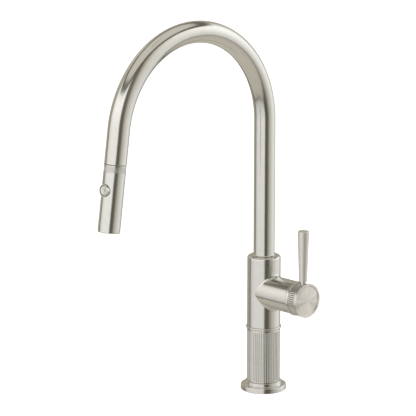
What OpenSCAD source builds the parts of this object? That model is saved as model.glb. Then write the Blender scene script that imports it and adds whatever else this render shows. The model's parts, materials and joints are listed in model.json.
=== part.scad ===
// High-arc single-lever faucet with a pull-down spray head.
// Millimetres. Origin at the centre of the base flange's underside, on the deck.
// +Z is up, the spout reaches along -Y and the handle's boss points along +X.

/* [Spout] */
// Outside diameter of the spout tube and the spray head
tube_d = 24; // [23:0.5:26]
// Wall of the spout tube
tube_wall = 1.5; // [1.2:0.1:1.5]
// Radius of the gooseneck's centreline
arch_r = 109.2; // [95:0.2:125]
// Sweep of the gooseneck, in degrees
arch_sweep = 172; // [165:1:178]
// Height at which the column starts to curve
column_top = 314.4; // [280:0.4:340]
// Straight length between the gooseneck and the docked spray head
tip_len = 36.8; // [36:0.2:45]

/* [Spray head] */
// Length of the spray head
head_len = 72.6; // [70:0.2:85]
// Distance from the head's top to the button's centre
button_pos = 27.4; // [25:0.2:30]
// Outside diameter of the button's bezel
bezel_d = 13.3; // [12.6:0.1:13.6]

/* [Body] */
// Diameter of the valve body and the reeded column
body_d = 38; // [38:0.5:40]
// Height of the valve body's top
body_top = 158; // [156:1:165]
// Height of the handle's axis
boss_z = 117; // [115:0.5:118]
// Distance from the column's axis to the boss's end
boss_len = 52.2; // [52.2:0.1:53]
// Diameter of the boss
boss_d = 37.2; // [37:0.1:37.4]
// Number of reeds round the column
reed_count = 48; // [36:1:60]

/* [Base] */
// Diameter of the base flange
flange_d = 52; // [50:1:60]
// Height of the base flange
flange_h = 6.4; // [5:0.2:8]
// Outside diameter of the threaded shank
shank_d = 32; // [31.6:0.1:32]
// Length of the shank below the deck
shank_len = 50; // [45:1:70]
// Thickness of the deck that the hardware clamps
deck_t = 30; // [6:1:32]

/* [Handle] */
// Height of the lever's tip above the deck
lever_top = 196.3; // [180:0.5:210]
// Diameter at the lever's foot
lever_d_low = 9; // [8:0.5:10]
// Diameter at the lever's tip
lever_d_top = 13; // [10:0.5:14]

/* [Hidden] */
$fn = 96;

// Gaps: between fixed faces, round a running shaft and between moving faces
fit_gap = 0.05;
run_gap = 0.1;
open_gap = 0.3;

// Column; the bent stretch of the tube is drawn thinner than the straight ones by bend_step
tube_r = tube_d / 2;
bore_r = tube_r - tube_wall;
bend_step = 0.02;
body_r = body_d / 2;
flange_r = flange_d / 2;
step_r = body_r + 1.6;
sleeve_z = flange_h + 4;
bead_z0 = 71.5;
body_z0 = bead_z0 + 4;
shank_r = shank_d / 2;
shank_bore_r = 14;
shank_top = 84;

// Hose and water tubes
hose_r = 6;
hose_bore_r = 7.6;
pipe_r = 3;
pipe_circle_r = 10.2;
pipe_angle = 55;
pipe_end_z = -shank_len - 24;
pipe_thread_r = 4;
pipe_thread_len = 10;
port_r = 1.8;
inlet_port_z = boss_z - 4;
outlet_port_z = boss_z - 10;

// Spout socket in the top of the body
foot_r = 12.6;
socket_z = body_top - 22;
bearing_z = body_top - 7.5;
bearing_r = 14;
grub_z = body_top - 12;
grub_r = 2;

// Cartridge, measured along the boss from the column's axis
boss_r = boss_d / 2;
chamber_r = 15.2;
chamber_x = 14;
housing_x = chamber_x + 1.2;
housing_r = chamber_r - 0.3;
guide_r = 12.6;
disc_x = housing_x + 3;
disc_t = 3;
moving_x = disc_x + disc_t + run_gap;
driver_x = moving_x + disc_t;
driver_t = 4;
carrier_x = driver_x + driver_t + open_gap;
lip_x = 44;
lip_r = 11;
housing_end = 46;
pivot_x = 40.8;
pin_r = 1.5;
slot_w = 6.6;
slot_h = 16;
disc_r = 9.9;
disc_offset = 2.4;
ball_x = 27;
ball_r = 2.2;
stem_r = 3;
stem_end = 66.4;

// Handle: the hub turns on a sphere centred on the pivot
dome_r = 21.7;
dome_t = 1.2;
dome_mouth_r = 13;
cavity_r = 22.1;
bead_x = boss_len + open_gap;
hub_x = bead_x + 4;
hub_boss_r = 5.2;
hub_boss_x = 58.5;
hub_core_r = 17.5;
band_r = 18.7;
bead_r = 19.6;
cap_x = 67.4;
cap_t = 2.8;
cap_r = 19.4;
lever_x = 62.2;
lever_z = boss_z + 21;
stud_r = 2.5;
neck_r = 2.8;

// Tip of the spout and spray head, measured from the end of the gooseneck
head_z = tip_len + 0.4;
head_end = head_z + head_len;
button_z = head_z + button_pos;
head_bore_r = 10.2;
core_r = head_bore_r - fit_gap;
ring_z = head_z + 1.3;
ring_h = 6.5;
collar_z = 14;
dock_r = 9.2;
magnet_h = 6;
keeper_z = collar_z + 1 + magnet_h + 0.5;
hose_len = 20;
ferrule_z = hose_len - 2;
connector_z = ferrule_z + 10;
spigot_r = 5.5;
clip_z = head_z + 7.4;
core_z = head_z + 4.8;
spigot_end = core_z + 8;
face_z = head_end - 5.8;
face_end = head_end - 0.6;
bezel_r = bezel_d / 2;
bezel_top = tube_r + 1.6;
pocket_y = 5;
button_r = 5.2;
button_top = bezel_top - 0.3;
plunger_r = 1.6;

// Points on an arc about [cx, cy], from angle a0 to a1
function arc(cx, cy, r, a0, a1, n) =
    [for (i = [0:n]) let (a = a0 + (a1 - a0) * i / n) [cx + r * cos(a), cy + r * sin(a)]];

// Places its children with +Z along the boss, measured from the column's axis
module in_boss() translate([0, 0, boss_z]) rotate([0, 90, 0]) children();

// Places its children with +Z along the tip and +Y towards the front of the head
module in_tip() {
    translate([0, -arch_r * (1 - cos(arch_sweep)), column_top + arch_r * sin(arch_sweep)])
        rotate([arch_sweep, 0, 0]) children();
}

// A plain ring between two radii and two heights
module ring(r_in, r_out, z0, z1) rotate_extrude() translate([r_in, z0]) square([r_out - r_in, z1 - z0]);

// Sweeps its 2D children round the gooseneck
module along_arch() translate([0, -arch_r, column_top]) rotate([90, 0, 90])
    rotate_extrude(angle = arch_sweep) translate([arch_r, 0]) children();

// A ring with rounded reeds round its outside
module reeded(r_in, r_out, h, count, depth) {
    shape = [0, 0.65, 1, 0.65];
    linear_extrude(h) difference() {
        polygon([for (i = [0:4 * count - 1])
            let (a = i * 90 / count, r = r_out - depth * (1 - shape[i % 4])) [r * cos(a), r * sin(a)]]);
        circle(r_in, $fn = 5 * count);
    }
}

// One water tube with its threaded lower end, at an angle round the hose
module water_tube(angle) rotate(angle) translate([pipe_circle_r, 0, 0]) difference() {
    union() {
        translate([0, 0, pipe_end_z]) cylinder(r = pipe_thread_r, h = pipe_thread_len);
        translate([0, 0, pipe_end_z]) cylinder(r = pipe_r, h = shank_top + 8 - pipe_end_z);
    }
    translate([0, 0, pipe_end_z - 1]) cylinder(r = pipe_r - 0.8, h = shank_top + 10 - pipe_end_z);
}

// The socket and passage that lead one tube to its port in the cartridge chamber
module water_way(angle, port_z) {
    x = pipe_circle_r * cos(angle);
    y = pipe_circle_r * sin(angle);
    translate([x, y, shank_top - 1]) cylinder(r = pipe_r + fit_gap, h = 9);
    translate([x, y, shank_top]) cylinder(r = port_r, h = port_z - shank_top + port_r);
    translate([x, y, port_z]) rotate([0, 90, 0]) cylinder(r = port_r, h = chamber_x + 1 - x);
}

// The three ports' places, as seen along the boss
module at_ports() {
    for (s = [-1, 1]) translate([boss_z - inlet_port_z, s * pipe_circle_r * sin(pipe_angle), 0]) children();
    translate([boss_z - outlet_port_z, 0, 0]) children();
}

// Base
module base_flange() color("silver") rotate_extrude() difference() {
    polygon([
        [shank_r + run_gap, 0], [flange_r - 0.6, 0], [flange_r, 0.8], [flange_r, flange_h - 1.6],
        [flange_r - 0.5, flange_h - 0.4], [flange_r - 1.3, flange_h], [step_r, flange_h],
        [step_r, sleeve_z], [shank_r + run_gap, sleeve_z]
    ]);
    translate([step_r - 0.1, -1]) square([3.1, 2.6]);
}

module deck_gasket() color("dimgray") ring(step_r, step_r + 2.9, 0, 1.55);

module reeded_sleeve() color("silver")
    translate([0, 0, sleeve_z]) reeded(body_r - 1.8, body_r, bead_z0 - sleeve_z, reed_count, 0.6);

module joint_bead() color("silver") rotate_extrude() polygon(concat(
    [[shank_r + run_gap, bead_z0], [body_r, bead_z0], [body_r, bead_z0 + 1.5]],
    arc(body_r, bead_z0 + 2.75, 1.2, -75, 75, 8),
    [[body_r, body_z0], [shank_r + run_gap, body_z0]]
));

module valve_body() color("silver") difference() {
    union() {
        rotate_extrude() polygon([
            [0, body_z0], [body_r, body_z0], [body_r, body_top - 1.2], [body_r - 0.4, body_top - 0.4],
            [body_r - 1.2, body_top], [0, body_top]
        ]);
        in_boss() cylinder(r = boss_r, h = boss_len);
    }
    translate([0, 0, body_z0 - 1]) cylinder(r = shank_r + fit_gap, h = shank_top - body_z0 + 1);
    translate([0, 0, shank_top - 1]) cylinder(r = hose_bore_r, h = body_top - shank_top + 2);
    translate([0, 0, socket_z]) cylinder(r = foot_r + run_gap, h = body_top - socket_z + 1);
    translate([0, 0, bearing_z]) cylinder(r = bearing_r, h = body_top - bearing_z + 1);
    translate([0, 0, grub_z]) rotate([-90, 0, 0]) cylinder(r = grub_r + fit_gap, h = body_r + 1);
    in_boss() translate([0, 0, chamber_x]) cylinder(r = chamber_r, h = boss_len);
    water_way(0, outlet_port_z);
    water_way(pipe_angle, inlet_port_z);
    water_way(-pipe_angle, inlet_port_z);
}

module mounting_shank() color("goldenrod") ring(shank_bore_r, shank_r, -shank_len, shank_top);

module rubber_washer() color("dimgray") ring(shank_r + open_gap, flange_r - 2, -deck_t - 3, -deck_t);

module steel_washer() color("gainsboro") ring(shank_r + open_gap, flange_r - 1, -deck_t - 5, -deck_t - 3);

module mounting_nut() color("goldenrod") translate([0, 0, -deck_t - 13]) difference() {
    cylinder(r = flange_r - 1, h = 8, $fn = 6);
    translate([0, 0, -1]) cylinder(r = shank_r + fit_gap, h = 10);
}

module hot_inlet_tube() color("peru") water_tube(pipe_angle);
module cold_inlet_tube() color("peru") water_tube(-pipe_angle);
module outlet_tube() color("peru") water_tube(0);

// Cartridge
module cartridge_seals() color("black") in_boss() at_ports() ring(port_r, port_r + 1.6, chamber_x, housing_x);

module cartridge_housing() color("ivory") in_boss() difference() {
    rotate_extrude() polygon([
        [0, housing_x], [housing_r, housing_x], [housing_r, housing_end], [lip_r, housing_end],
        [lip_r, lip_x], [guide_r, lip_x], [guide_r, disc_x], [0, disc_x]
    ]);
    at_ports() translate([0, 0, housing_x - 1]) cylinder(r = port_r, h = 5);
}

module fixed_disc() color("white") in_boss() difference() {
    translate([0, 0, disc_x]) cylinder(r = guide_r - run_gap, h = disc_t);
    at_ports() translate([0, 0, disc_x - 1]) cylinder(r = port_r, h = disc_t + 2);
}

module moving_disc() color("whitesmoke") in_boss() translate([disc_offset, 0, moving_x]) difference() {
    cylinder(r = disc_r, h = disc_t);
    translate([0, 0, -1]) cylinder(r = disc_r - 4, h = 2.5);
}

module disc_driver() color("gray") in_boss() difference() {
    union() {
        translate([disc_offset, 0, driver_x]) cylinder(r = disc_r, h = driver_t);
        for (s = [-1, 1]) translate([disc_offset, s * 7, driver_x + 2]) translate([-4, -1, 0])
            cube([8, 2, driver_t - 0.2]);
    }
    translate([0, 0, driver_x + 0.1]) cylinder(r = ball_r + 0.6, h = driver_t + 1);
}

module cartridge_carrier() color("lightgray") in_boss() difference() {
    union() {
        translate([0, 0, carrier_x]) cylinder(r = guide_r - run_gap, h = lip_x - open_gap - carrier_x);
        translate([0, 0, lip_x - open_gap - 0.1]) cylinder(r = lip_r - run_gap, h = 3);
    }
    translate([-slot_h / 2, -slot_w / 2, carrier_x - 1]) cube([slot_h, slot_w, 22]);
    for (s = [-1, 1]) translate([-15, s * 7 - 1.3, carrier_x - 1]) cube([30, 2.6, 3]);
    translate([0, 0, pivot_x]) rotate([90, 0, 0]) cylinder(r = pin_r + 0.02, h = 30, center = true);
}

module carrier_pin() color("dimgray") translate([pivot_x, 0, boss_z]) rotate([90, 0, 0])
    cylinder(r = pin_r, h = 21, center = true);

module bonnet_nut() color("goldenrod") in_boss() difference() {
    ring(lip_r + 0.4, chamber_r - fit_gap, housing_end, boss_len - open_gap);
    for (a = [0, 90]) rotate(a) translate([-20, -1.5, boss_len - 2.3]) cube([40, 3, 4]);
}

module bonnet_dome() color("silver") in_boss() rotate_extrude() polygon(concat(
    arc(0, pivot_x, dome_r, asin((boss_len - pivot_x) / dome_r), acos(dome_mouth_r / dome_r), 24),
    arc(0, pivot_x, dome_r - dome_t, acos(dome_mouth_r / (dome_r - dome_t)),
        asin((boss_len - pivot_x) / (dome_r - dome_t)), 24)
));

// Spout swivel
module spout_bearing() color("ivory") ring(foot_r + run_gap, bearing_r - fit_gap, bearing_z, body_top - 0.2);

module thrust_washer() color("ivory") ring(8, foot_r - 0.1, socket_z, socket_z + 0.9);

module spout_grub_screw() color("dimgray") translate([0, 0, grub_z]) rotate([-90, 0, 0]) difference() {
    union() {
        translate([0, 0, foot_r + open_gap]) cylinder(r = grub_r, h = body_r - foot_r - 0.7);
        translate([0, 0, foot_r - 1]) cylinder(r = grub_r - 0.5, h = 2);
    }
    translate([0, 0, body_r - 2.5]) cylinder(r = 1.1, h = 4, $fn = 6);
}

module spout_foot() color("goldenrod") rotate_extrude() polygon([
    [hose_r + 2.5, socket_z + 1], [foot_r, socket_z + 1],
    [foot_r, socket_z + 3], [foot_r - 1.5, socket_z + 3], [foot_r - 1.5, socket_z + 4.6],
    [foot_r, socket_z + 4.6], [foot_r, grub_z - 2], [foot_r - 1.4, grub_z - 2],
    [foot_r - 1.4, grub_z + 2], [foot_r, grub_z + 2],
    [foot_r, grub_z + 5.5], [foot_r - 1.5, grub_z + 5.5], [foot_r - 1.5, grub_z + 7.1],
    [foot_r, grub_z + 7.1], [foot_r, body_top + open_gap], [bore_r - fit_gap, body_top + open_gap],
    [bore_r - fit_gap, body_top + 12], [hose_r + 2.5, body_top + 12]
]);

module spout_o_rings() color("black") for (z = [socket_z + 3.1, grub_z + 5.6])
    ring(foot_r - 1.45, foot_r + 0.04, z, z + 1.4);

module spout_collar() color("silver") rotate_extrude() polygon(concat(
    [[tube_r + fit_gap, body_top + open_gap], [tube_r + 1.9, body_top + open_gap],
        [tube_r + 1.9, body_top + open_gap + 0.3]],
    arc(tube_r + 1.9, body_top + 2.3, 1.7, -90, -180, 8),
    [[tube_r + fit_gap, body_top + 2.3]]
));

module spout_tube() color("silver") {
    ring(bore_r, tube_r, body_top + open_gap, column_top);
    along_arch() difference() {
        circle(tube_r - bend_step);
        circle(bore_r + bend_step);
    }
    in_tip() ring(bore_r, tube_r, 0, tip_len);
}

// Hose and docking
module pull_hose_upper() color("dimgray") {
    translate([0, 0, -shank_len - 2]) cylinder(r = hose_r, h = column_top + shank_len + 2);
    along_arch() circle(hose_r);
}

module hose_tail_fitting() color("goldenrod") translate([0, 0, -shank_len - 12])
    cylinder(r = hose_r + 0.6, h = 10, $fn = 6);

module pull_hose_lower() color("dimgray") in_tip() cylinder(r = hose_r, h = hose_len);

module hose_ferrule() color("gainsboro") in_tip() difference() {
    translate([0, 0, ferrule_z]) cylinder(r = hose_r + 1.2, h = connector_z - ferrule_z);
    translate([0, 0, ferrule_z - 1]) cylinder(r = hose_r + fit_gap, h = hose_len - ferrule_z + 1);
}

module hose_connector() color("goldenrod") in_tip() rotate_extrude() polygon([
    [3.2, connector_z], [hose_r + 1.2, connector_z], [hose_r + 1.2, connector_z + 3],
    [spigot_r, connector_z + 3], [spigot_r, clip_z - 0.4], [spigot_r - 0.8, clip_z - 0.4],
    [spigot_r - 0.8, clip_z + 1.4], [spigot_r, clip_z + 1.4], [spigot_r, clip_z + 2.2],
    [spigot_r - 1, clip_z + 2.2], [spigot_r - 1, clip_z + 3.8], [spigot_r, clip_z + 3.8],
    [spigot_r, spigot_end], [3.2, spigot_end]
]);

module connector_o_ring() color("black") in_tip()
    ring(spigot_r - 0.95, spigot_r + 0.04, clip_z + 2.3, clip_z + 3.7);

module docking_collar() color("dimgray") in_tip() rotate_extrude() polygon([
    [8.2, collar_z], [bore_r - 0.1, collar_z], [bore_r - 0.1, tip_len - 0.3], [dock_r + 0.8, tip_len - 0.3],
    [dock_r, tip_len - 2], [dock_r, collar_z + 1 + magnet_h], [10, collar_z + 1 + magnet_h],
    [10, collar_z + 1], [8.2, collar_z + 1]
]);

module dock_magnet() color("slategray") in_tip() ring(8.2, 9.9, collar_z + 1, collar_z + 1 + magnet_h);

module keeper_ring() color("lightsteelblue") in_tip() ring(7.9, dock_r - 0.2, keeper_z, keeper_z + 2);

module docking_sleeve() color("dimgray") in_tip() rotate_extrude() polygon([
    [7.9, keeper_z + 2], [dock_r - 0.2, keeper_z + 2], [dock_r - 0.2, head_z + 1.6],
    [core_r, head_z + 1.6], [core_r, core_z], [7.9, core_z]
]);

// Spray head
module head_shell() color("silver") in_tip() difference() {
    rotate_extrude() polygon([
        [dock_r, head_z], [tube_r - 0.3, head_z], [tube_r, head_z + 0.3], [tube_r, ring_z],
        [tube_r - 0.8, ring_z], [tube_r - 0.8, ring_z + ring_h], [tube_r, ring_z + ring_h],
        [tube_r, head_end - 1], [tube_r - 0.3, head_end - 0.3], [tube_r - 1, head_end],
        [head_bore_r, head_end], [head_bore_r, head_z + 1.5], [dock_r, head_z + 1.5]
    ]);
    translate([0, 0, button_z]) rotate([-90, 0, 0]) cylinder(r = bezel_r + fit_gap, h = tube_r + 4);
}

module head_reeded_ring() color("silver") in_tip()
    translate([0, 0, ring_z]) reeded(tube_r - 0.75, tube_r - 0.35, ring_h, 60, 0.2);

module spray_core() color("darkgray") in_tip() difference() {
    translate([0, 0, core_z]) cylinder(r = core_r, h = face_z - core_z);
    translate([0, 0, core_z - 1]) cylinder(r = spigot_r + run_gap, h = spigot_end - core_z + 1.8);
    translate([0, 0, clip_z - 0.1]) cylinder(r = 6.6, h = 1.2);
    translate([0, 0, core_z]) cylinder(r = 3, h = face_z - core_z + 1);
    translate([0, 0, face_z - 5]) cylinder(r = 8.6, h = 6);
    translate([0, 0, button_z]) rotate([-90, 0, 0]) {
        translate([0, 0, pocket_y]) cylinder(r = bezel_r + fit_gap, h = tube_r);
        translate([0, 0, -6]) cylinder(r = plunger_r + run_gap, h = tube_r);
    }
}

module swivel_clip() color("gainsboro") in_tip() ring(spigot_r - 0.4, 6.5, clip_z, clip_z + 1);

module check_valve() color("white") in_tip() ring(1.4, 2.95, spigot_end + 1.2, spigot_end + 7);

module button_bezel() color("silver") in_tip() translate([0, 0, button_z]) rotate([-90, 0, 0])
    rotate_extrude() polygon([
        [button_r + open_gap, pocket_y], [bezel_r, pocket_y], [bezel_r, bezel_top - 0.5],
        [bezel_r - 0.15, bezel_top - 0.15], [bezel_r - 0.5, bezel_top], [button_r + open_gap, bezel_top]
    ]);

module spray_face() color("gray") in_tip() difference() {
    translate([0, 0, face_z]) cylinder(r = core_r, h = face_end - face_z);
    translate([0, 0, face_z - 1]) cylinder(r = 4.3, h = 8);
    for (i = [0:11]) rotate(i * 30) translate([7.4, 0, face_z - 1]) cylinder(r = 0.9, h = 8);
}

module spray_nozzles() color("dimgray") in_tip() for (i = [0:11]) rotate(i * 30)
    translate([7.4, 0, face_z]) ring(0.35, 0.88, 0, head_end - face_z);

module aerator() color("lightgray") in_tip() difference() {
    translate([0, 0, face_z + 0.2]) cylinder(r = 4.25, h = face_end - face_z - 0.4);
    for (r = [1.4, 2.9], i = [0:r * 4]) rotate(i * 360 / (floor(r * 4) + 1))
        translate([r, 0, face_z - 1]) cylinder(r = 0.45, h = 8, $fn = 24);
}

// Button
module spray_button() color("gainsboro") in_tip() translate([0, 0, button_z]) rotate([-90, 0, 0])
    rotate_extrude() polygon([
        [0, button_top - 2.6], [button_r, button_top - 2.6], [button_r, button_top - 0.4],
        [button_r - 0.4, button_top], [0, button_top]
    ]);

module button_plunger() color("goldenrod") in_tip() translate([0, -2.4, button_z]) rotate([-90, 0, 0])
    cylinder(r = plunger_r, h = button_top - 2.6 + 2.4);

module button_spring() color("gainsboro") in_tip() translate([0, 0, button_z]) rotate([-90, 0, 0])
    ring(plunger_r + 0.6, plunger_r + 1.5, pocket_y, button_top - 2.6);

// Handle
module cartridge_stem() color("gainsboro") in_boss() difference() {
    union() {
        translate([0, 0, ball_x]) sphere(ball_r);
        translate([0, 0, ball_x]) cylinder(r = 1.8, h = pivot_x - ball_x);
        translate([0, 0, pivot_x]) rotate([90, 0, 0]) cylinder(r = 4.5, h = slot_w - 0.6, center = true);
        translate([0, 0, pivot_x]) cylinder(r = stem_r, h = stem_end - pivot_x);
    }
    translate([0, 0, pivot_x]) rotate([90, 0, 0]) cylinder(r = pin_r + 0.08, h = 20, center = true);
}

module handle_hub() color("silver") difference() {
    in_boss() rotate_extrude() polygon(concat(
        [[hub_core_r, hub_x], [hub_core_r, cap_x], [14, cap_x], [14, cap_x - 1.2], [11.9, cap_x - 1.2],
            [11.9, cap_x], [0, cap_x], [0, stem_end + 0.1], [stem_r + fit_gap, stem_end + 0.1],
            [stem_r + fit_gap, hub_boss_x], [hub_boss_r, hub_boss_x]],
        arc(0, pivot_x, cavity_r, acos(hub_boss_r / cavity_r), asin((hub_x - pivot_x) / cavity_r), 24)
    ));
    translate([lever_x, 0, boss_z + 13]) cylinder(r = stud_r + fit_gap, h = 20);
    translate([stem_end - 2, 0, boss_z - 30]) cylinder(r = 1.6, h = 30);
}

module handle_bead_ring() color("silver") in_boss() rotate_extrude() polygon(concat(
    [[18.95, bead_x], [bead_r - 0.2, bead_x + 0.6]], arc(bead_r - 1.4, bead_x + 2, 1.4, -35, 35, 6),
    [[bead_r - 0.2, hub_x - 0.6], [18.95, hub_x]],
    arc(0, pivot_x, cavity_r, asin((hub_x - pivot_x) / cavity_r), asin((bead_x - pivot_x) / cavity_r), 10)
));

module handle_reeded_ring() color("silver") difference() {
    in_boss() translate([0, 0, hub_x + 0.1]) reeded(hub_core_r + fit_gap, band_r, cap_x - hub_x - 0.2, 50, 0.35);
    translate([lever_x, 0, boss_z]) cylinder(r = neck_r + 0.1, h = 20);
    translate([stem_end - 2, 0, boss_z - 30]) cylinder(r = 1.6, h = 30);
}

module handle_cap() color("silver") in_boss() rotate_extrude() polygon([
    [0, cap_x], [12, cap_x], [12, cap_x - 1.1], [13.9, cap_x - 1.1], [13.9, cap_x],
    [cap_r - 0.4, cap_x], [cap_r, cap_x + 0.4], [cap_r, cap_x + cap_t - 0.6],
    [cap_r - 0.6, cap_x + cap_t], [0, cap_x + cap_t]
]);

module handle_set_screw() color("dimgray") translate([stem_end - 2, 0, boss_z - stem_r - 8]) difference() {
    cylinder(r = 1.55, h = 7.9);
    translate([0, 0, -1]) cylinder(r = 0.9, h = 3.5, $fn = 6);
}

module lever_stud() color("silver") translate([lever_x, 0, 0]) {
    translate([0, 0, boss_z + 13.1]) cylinder(r = stud_r, h = 4.4);
    translate([0, 0, boss_z + 17.5]) cylinder(r = neck_r, h = lever_z - boss_z - 17.5);
    translate([0, 0, lever_z]) cylinder(r = stud_r, h = 8);
}

module lever_arm() color("silver") translate([lever_x, 0, 0]) difference() {
    rotate_extrude() polygon([
        [0, lever_z], [lever_d_low / 2 - 0.4, lever_z], [lever_d_low / 2, lever_z + 0.4],
        [lever_d_top / 2, lever_top - 1], [lever_d_top / 2 - 0.3, lever_top - 0.3],
        [lever_d_top / 2 - 1, lever_top], [0, lever_top]
    ]);
    translate([0, 0, lever_z - 1]) cylinder(r = stud_r + fit_gap, h = 9.2);
}

base_flange();
deck_gasket();
reeded_sleeve();
joint_bead();
valve_body();
mounting_shank();
rubber_washer();
steel_washer();
mounting_nut();
hot_inlet_tube();
cold_inlet_tube();
outlet_tube();
cartridge_seals();
cartridge_housing();
fixed_disc();
bonnet_nut();
bonnet_dome();
spout_bearing();
thrust_washer();
spout_grub_screw();
cartridge_carrier();
carrier_pin();
moving_disc();
disc_driver();
cartridge_stem();
handle_hub();
handle_bead_ring();
handle_reeded_ring();
handle_cap();
handle_set_screw();
lever_stud();
lever_arm();
spout_tube();
spout_collar();
spout_foot();
spout_o_rings();
docking_collar();
dock_magnet();
pull_hose_upper();
hose_tail_fitting();
pull_hose_lower();
hose_ferrule();
hose_connector();
connector_o_ring();
head_shell();
head_reeded_ring();
docking_sleeve();
keeper_ring();
spray_core();
swivel_clip();
check_valve();
button_bezel();
spray_face();
spray_nozzles();
aerator();
spray_button();
button_plunger();
button_spring();
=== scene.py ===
"""Looks for a high-arc kitchen faucet with a pull-down spray head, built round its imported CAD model.

Sizes are millimetres in the CAD frame: origin under the base flange, +Z up, spout along -Y, handle along +X.
They become metres where a mesh is made. An outline is a list of rows, each with a radius, a distance along a
path and the two parts of the outward normal.
"""

import json
import math

import bmesh
import bpy
import numpy as np
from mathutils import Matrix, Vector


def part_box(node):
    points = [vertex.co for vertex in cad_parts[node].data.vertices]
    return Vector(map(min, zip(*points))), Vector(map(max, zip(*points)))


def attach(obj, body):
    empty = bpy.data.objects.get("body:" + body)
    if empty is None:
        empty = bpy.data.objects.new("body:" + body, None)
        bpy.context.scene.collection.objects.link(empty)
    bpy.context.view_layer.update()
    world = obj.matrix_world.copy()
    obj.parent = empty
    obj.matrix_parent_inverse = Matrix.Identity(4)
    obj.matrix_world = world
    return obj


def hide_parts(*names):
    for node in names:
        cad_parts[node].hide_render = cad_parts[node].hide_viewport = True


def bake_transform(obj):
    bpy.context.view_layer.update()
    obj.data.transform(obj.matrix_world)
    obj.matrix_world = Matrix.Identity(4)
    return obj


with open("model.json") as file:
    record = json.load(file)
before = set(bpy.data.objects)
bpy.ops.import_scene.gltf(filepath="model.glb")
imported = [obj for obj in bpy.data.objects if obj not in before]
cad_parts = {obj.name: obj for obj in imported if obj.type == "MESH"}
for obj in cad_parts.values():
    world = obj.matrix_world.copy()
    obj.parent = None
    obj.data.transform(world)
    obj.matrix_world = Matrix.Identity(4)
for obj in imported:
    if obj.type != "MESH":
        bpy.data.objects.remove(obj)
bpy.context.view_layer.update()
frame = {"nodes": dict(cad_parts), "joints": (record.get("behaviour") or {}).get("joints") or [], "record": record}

MM = 0.001
RECORD = frame["record"]
BODY_OF = {node: body for body, nodes in RECORD["behaviour"]["bodies"].items() for node in nodes}
SLOT_OF = {part["node"]: part["material_slot"] for part in RECORD["subparts"]}
JOINTS = {joint["name"]: joint for joint in frame["joints"]}

X, Y, Z = np.eye(3)


def low(node, axis):
    """The node's lowest coordinate along an axis, in millimetres."""
    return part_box(node)[0][axis] / MM


def high(node, axis):
    """The node's highest coordinate along an axis, in millimetres."""
    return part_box(node)[1][axis] / MM


def unit(v):
    """The vector at a length of 1."""
    return v / np.linalg.norm(v)


# ---------------------------------------------------------------- driving sizes, from the frame

FLANGE_R = high("base_flange", 0)
STEP_TOP = high("base_flange", 2)
BODY_R = high("valve_body", 1)
BODY_LOW = low("valve_body", 2)
BODY_TOP = high("valve_body", 2)
BOSS_END = high("valve_body", 0)
BOSS_R = 18.6
PIVOT = np.array(JOINTS["handle_turn"]["pos_m"]) / MM
BOSS_Z = PIVOT[2]
SHANK_R = 16
SHANK_BORE = 14
SHANK_TOP = 84

# Gaps: between fixed faces, round a shaft and between moving faces
FIT_GAP = 0.05
RUN_GAP = 0.1
OPEN_GAP = 0.3

TUBE_R = high("spout_tube", 0)
TUBE_WALL = 1.5
BORE_R = TUBE_R - TUBE_WALL
SPOUT_LOW = low("spout_tube", 2)
TIP_AXIS = unit(np.array(JOINTS["head_pull"]["axis"]))
SWEEP = math.pi - math.acos(-TIP_AXIS[2])
SWIVEL_AT = 60  # along the tip, from the end of the gooseneck
TIP_START = np.array(JOINTS["head_swivel"]["pos_m"]) / MM - SWIVEL_AT * TIP_AXIS
ARCH_R = -TIP_START[1] / (1 - math.cos(SWEEP))
COLUMN_TOP = TIP_START[2] - ARCH_R * math.sin(SWEEP)
SPOUT_RISE = COLUMN_TOP - SPOUT_LOW

# Places along the tip, measured from the end of the gooseneck
TIP_LEN = 36.8
HOSE_LEN = 20
HEAD_START = TIP_LEN + 0.4
HEAD_END = HEAD_START + 72.6
RING_START = HEAD_START + 1.3
RING_LEN = 6.5
BUTTON_AT = HEAD_START + 27.4
FACE_START = HEAD_END - 5.8
SPOUT_LEN = SPOUT_RISE + ARCH_R * SWEEP + TIP_LEN
HOSE_R = 6

# The button's bezel, and places along the button's own axis
BEZEL_R = 6.65
BEZEL_FLOOR = 5
BEZEL_TOP = TUBE_R + 1.6
BUTTON_TOP = BEZEL_TOP - 0.3
BUTTON_BACK = BUTTON_TOP - 2.6

HUB_X = BOSS_END + 4.3
CAP_SPIGOT = 1.1
CAP_X = low("handle_cap", 0) + CAP_SPIGOT
CAP_END = high("handle_cap", 0)
CAP_R = high("handle_cap", 1)
LEVER_X = (low("lever_arm", 0) + high("lever_arm", 0)) / 2
LEVER_LOW = low("lever_arm", 2)
LEVER_TOP = high("lever_arm", 2)
LEVER_SOCKET = 8

# Columns in a full turn, degrees between the points of a rounded corner, and steps along an arc
TURNS = 128
ROUND_STEP = 12
ARC_STEPS = 16


# ---------------------------------------------------------------- paths

def line(origin, axis, side):
    """A straight path: distance along it gives the centre, the direction and the two sideways directions."""
    axis = np.array(axis, float)
    side = np.array(side, float)
    across = np.cross(axis, side)

    def path(s):
        flat = np.ones(len(s))[:, None]
        return np.array(origin) + s[:, None] * axis, flat * axis, flat * side, flat * across
    return path


def gooseneck(s):
    """The spout's centreline from the top of the body: up, round the arch and down the tip."""
    angle = np.clip((s - SPOUT_RISE) / ARCH_R, 0, SWEEP)
    before = np.minimum(s - SPOUT_RISE, 0)
    after = np.maximum(s - SPOUT_RISE - ARCH_R * SWEEP, 0)
    along = np.stack([0 * angle, -np.sin(angle), np.cos(angle)], 1)
    centre = np.stack([0 * angle, -ARCH_R * (1 - np.cos(angle)), COLUMN_TOP + ARCH_R * np.sin(angle)], 1)
    centre = centre + (before + after)[:, None] * along
    side = np.tile(X, (len(s), 1))
    return centre, along, side, np.cross(along, side)


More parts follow.
